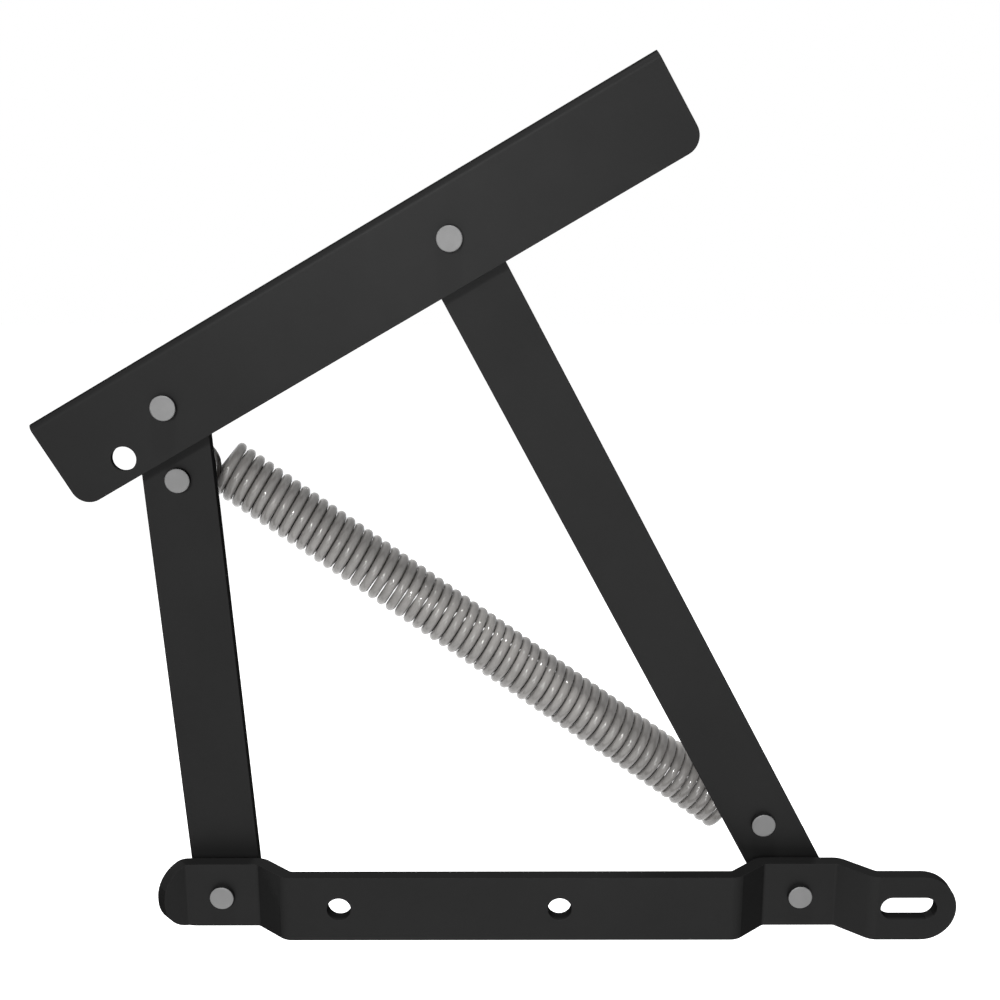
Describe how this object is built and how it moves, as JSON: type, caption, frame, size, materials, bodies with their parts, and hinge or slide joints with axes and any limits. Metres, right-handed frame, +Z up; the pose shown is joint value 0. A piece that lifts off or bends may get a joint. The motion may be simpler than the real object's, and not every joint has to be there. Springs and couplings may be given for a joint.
{
  "type": "spring lift mechanism",
  "caption": "Four-bar lift mechanism of flat black steel bars: a cranked base strap, an angle rail on riveted links and a tension spring that helps raise a hinged top.",
  "frame": {"origin": "midway between the two fixing holes of the base strap, on the strap's front face", "axes": "+X along the strap towards its slotted end, +Y away from the fixing face through the layers of the mechanism, +Z up"},
  "size_m": [0.3911, 0.0614, 0.3722],
  "materials": {
    "black_steel": "matte powder coat",
    "plain_steel": "satin",
    "zinc_steel": "zinc plated",
    "bush_nylon": "moulded",
    "spring_steel": "oiled satin"
  },
  "bodies": {
    "base": {"base_strap": "black_steel", "base_rivet_left": "plain_steel", "base_rivet_right": "plain_steel", "base_spacer_left": "black_steel", "base_spacer_right": "black_steel", "base_washer_left": "zinc_steel", "base_washer_right": "zinc_steel"},
    "left_link": {"left_link": "black_steel", "upper_spring_post": "plain_steel", "upper_eye_bush": "bush_nylon", "upper_end_cap": "zinc_steel"},
    "right_link": {"right_link": "black_steel", "lower_spring_post": "plain_steel", "lower_eye_bush": "bush_nylon", "rail_rivet_right_tail": "plain_steel", "rail_washer_right": "zinc_steel"},
    "rail": {"rail_angle_iron": "black_steel", "rail_rivet_left": "plain_steel", "rail_rivet_right": "plain_steel", "rail_spacer_left": "black_steel", "rail_spacer_right": "black_steel", "rail_washer_left": "zinc_steel"},
    "spring": {"tension_spring": "spring_steel"},
    "spring_end": {"lower_end_cap": "zinc_steel"}
  },
  "joints": [
    {"name": "left_link_fold", "type": "hinge", "parent": "base", "child": "left_link", "pos_m": [-0.1007, 0.027, 0], "axis": [0, -1, 0], "range_deg": [0, 50.25], "stiffness_Nm_per_rad": 62, "springref_deg": -11.46},
    {"name": "right_link_fold", "type": "hinge", "parent": "base", "child": "right_link", "pos_m": [0.1546, 0.027, 0], "axis": [0, -1, 0], "range_deg": [0, 38.49]},
    {"name": "rail_tilt", "type": "hinge", "parent": "left_link", "child": "rail", "pos_m": [-0.11443, 0.021, 0.21857], "axis": [0, 1, 0], "range_deg": [0, 80.25]},
    {"name": "spring_swing", "type": "hinge", "parent": "left_link", "child": "spring", "pos_m": [-0.11241, 0.05, 0.18633], "axis": [0, 1, 0], "range_deg": [0, 32.66]},
    {"name": "spring_stretch", "type": "slide", "parent": "spring", "child": "spring_end", "axis": [0.8474, 0, -0.531], "range_m": [0, 0.09158], "deforming": ["tension_spring"]}
  ],
  "couplings": [
    {"joint": "right_link_fold", "follows": "left_link_fold", "ratio": 0.7661},
    {"joint": "rail_tilt", "follows": "left_link_fold", "ratio": 1.5971},
    {"joint": "spring_swing", "follows": "left_link_fold", "ratio": 0.65006},
    {"joint": "spring_stretch", "follows": "left_link_fold", "m_per_rad": 0.10443}
  ]
}
